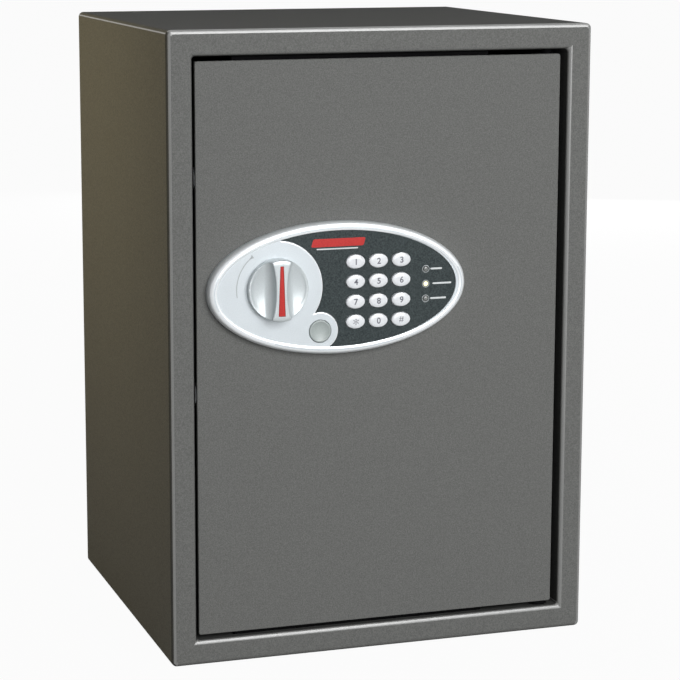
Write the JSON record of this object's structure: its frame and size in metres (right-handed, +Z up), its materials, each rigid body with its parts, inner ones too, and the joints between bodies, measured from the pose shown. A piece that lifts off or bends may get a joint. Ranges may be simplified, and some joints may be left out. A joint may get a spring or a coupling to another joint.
{
  "type": "home safe",
  "caption": "Free-standing steel home safe with a recessed hinged door, an oval fascia with keypad, lock knob and emergency key lock, sliding bolts, and a lift-out shelf.",
  "frame": {"origin": "middle of the underside of the steel case, on the surface that the safe stands on", "axes": "+X to the right of someone facing the door, +Y from the door to the rear, +Z up"},
  "size_m": [0.35, 0.3304, 0.5],
  "materials": {
    "grey_paint": "fine textured metallic graphite powder coat",
    "zinc_steel": "bright zinc plated",
    "dark_steel": "blackened steel",
    "silver_plastic": "silver painted ABS",
    "slate_panel": "slate grey printed film",
    "pearl_key": "pearl white moulded",
    "light_lens": "clear moulded light guide",
    "red_inlay": "red moulded",
    "cap_grey": "satin grey moulded",
    "floor_felt": "needle felt",
    "circuit_green": "solder mask",
    "cable_grey": "matt sleeve",
    "coil_blue": "taped coil",
    "black_plastic": "fine moulded grain",
    "cell_wrap": "plain metallic wrap",
    "lock_brass": "satin"
  },
  "bodies": {
    "case": {"body_shell": "grey_paint", "rear_panel": "grey_paint", "upper_hinge_plate": "dark_steel", "lower_hinge_plate": "dark_steel", "strike_plate": "dark_steel", "upper_door_stop": "dark_steel", "lower_door_stop": "dark_steel", "left_shelf_rail": "grey_paint", "right_shelf_rail": "grey_paint", "floor_mat": "floor_felt", "hinge_washer": "dark_steel"},
    "shelf": {"shelf": "grey_paint"},
    "door": {"door_plate": "grey_paint", "inner_pan": "grey_paint", "pan_screw_1": "zinc_steel", "pan_screw_2": "zinc_steel", "pan_screw_3": "zinc_steel", "pan_screw_4": "zinc_steel", "bolt_guide": "dark_steel", "upper_hinge_block": "dark_steel", "upper_hinge_pin": "dark_steel", "lower_hinge_block": "dark_steel", "lower_hinge_pin": "dark_steel", "solenoid_body": "coil_blue", "plunger_spring": "zinc_steel", "override_lock": "zinc_steel", "fascia_bezel": "silver_plastic", "keypad_panel": "slate_panel", "keypad_board": "circuit_green", "keypad_cable": "cable_grey", "status_lights": "light_lens", "battery_box": "black_plastic", "battery_pack": "cell_wrap", "circuit_board": "circuit_green"},
    "knob": {"knob": "silver_plastic", "knob_insert": "red_inlay", "spindle": "zinc_steel", "spindle_clip": "dark_steel", "bolt_cam": "zinc_steel"},
    "bolts": {"upper_bolt": "zinc_steel", "lower_bolt": "zinc_steel", "bolt_carriage": "zinc_steel"},
    "plunger": {"solenoid_plunger": "zinc_steel"},
    "override_barrel": {"override_plug": "lock_brass", "override_cam": "zinc_steel"},
    "override_cap": {"override_cap": "cap_grey"},
    "battery_cover": {"battery_cover": "black_plastic"},
    "reset_button": {"reset_button": "red_inlay"},
    "key_1": {"key_1": "pearl_key"},
    "key_2": {"key_2": "pearl_key"},
    "key_3": {"key_3": "pearl_key"},
    "key_4": {"key_4": "pearl_key"},
    "key_5": {"key_5": "pearl_key"},
    "key_6": {"key_6": "pearl_key"},
    "key_7": {"key_7": "pearl_key"},
    "key_8": {"key_8": "pearl_key"},
    "key_9": {"key_9": "pearl_key"},
    "key_star": {"key_star": "pearl_key"},
    "key_0": {"key_0": "pearl_key"},
    "key_hash": {"key_hash": "pearl_key"}
  },
  "joints": [
    {"name": "door_hinge", "type": "hinge", "parent": "case", "child": "door", "pos_m": [0.141, -0.142, 0.25], "axis": [0, 0, 1], "range_deg": [0, 100]},
    {"name": "shelf_lift", "type": "slide", "parent": "case", "child": "shelf", "axis": [0, 0, 1], "range_m": [0, 0.03]},
    {"name": "knob_turn", "type": "hinge", "parent": "door", "child": "knob", "pos_m": [-0.0905, -0.16, 0.3], "axis": [0, -1, 0], "range_deg": [0, 90]},
    {"name": "bolt_slide", "type": "slide", "parent": "door", "child": "bolts", "axis": [-1, 0, 0], "range_m": [0, 0.018]},
    {"name": "plunger_rise", "type": "slide", "parent": "door", "child": "plunger", "axis": [0, 0, 1], "range_m": [0, 0.007], "deforming": ["plunger_spring"]},
    {"name": "override_turn", "type": "hinge", "parent": "door", "child": "override_barrel", "pos_m": [-0.0553, -0.14, 0.2646], "axis": [0, 1, 0], "range_deg": [0, 90]},
    {"name": "override_cap_off", "type": "slide", "parent": "door", "child": "override_cap", "axis": [0, -1, 0], "range_m": [0, 0.02]},
    {"name": "battery_cover_off", "type": "slide", "parent": "door", "child": "battery_cover", "axis": [0, 1, 0], "range_m": [0, 0.02]},
    {"name": "reset_press", "type": "slide", "parent": "door", "child": "reset_button", "axis": [0, -1, 0], "range_m": [0, 0.0015], "stiffness_N_per_m": 600},
    {"name": "key_1_press", "type": "slide", "parent": "door", "child": "key_1", "axis": [0, 1, 0], "range_m": [0, 0.0012], "stiffness_N_per_m": 1000},
    {"name": "key_2_press", "type": "slide", "parent": "door", "child": "key_2", "axis": [0, 1, 0], "range_m": [0, 0.0012], "stiffness_N_per_m": 1000},
    {"name": "key_3_press", "type": "slide", "parent": "door", "child": "key_3", "axis": [0, 1, 0], "range_m": [0, 0.0012], "stiffness_N_per_m": 1000},
    {"name": "key_4_press", "type": "slide", "parent": "door", "child": "key_4", "axis": [0, 1, 0], "range_m": [0, 0.0012], "stiffness_N_per_m": 1000},
    {"name": "key_5_press", "type": "slide", "parent": "door", "child": "key_5", "axis": [0, 1, 0], "range_m": [0, 0.0012], "stiffness_N_per_m": 1000},
    {"name": "key_6_press", "type": "slide", "parent": "door", "child": "key_6", "axis": [0, 1, 0], "range_m": [0, 0.0012], "stiffness_N_per_m": 1000},
    {"name": "key_7_press", "type": "slide", "parent": "door", "child": "key_7", "axis": [0, 1, 0], "range_m": [0, 0.0012], "stiffness_N_per_m": 1000},
    {"name": "key_8_press", "type": "slide", "parent": "door", "child": "key_8", "axis": [0, 1, 0], "range_m": [0, 0.0012], "stiffness_N_per_m": 1000},
    {"name": "key_9_press", "type": "slide", "parent": "door", "child": "key_9", "axis": [0, 1, 0], "range_m": [0, 0.0012], "stiffness_N_per_m": 1000},
    {"name": "key_star_press", "type": "slide", "parent": "door", "child": "key_star", "axis": [0, 1, 0], "range_m": [0, 0.0012], "stiffness_N_per_m": 1000},
    {"name": "key_0_press", "type": "slide", "parent": "door", "child": "key_0", "axis": [0, 1, 0], "range_m": [0, 0.0012], "stiffness_N_per_m": 1000},
    {"name": "key_hash_press", "type": "slide", "parent": "door", "child": "key_hash", "axis": [0, 1, 0], "range_m": [0, 0.0012], "stiffness_N_per_m": 1000}
  ],
  "couplings": [
    {"joint": "knob_turn", "follows": "bolt_slide", "rad_per_m": 87.26}
  ]
}
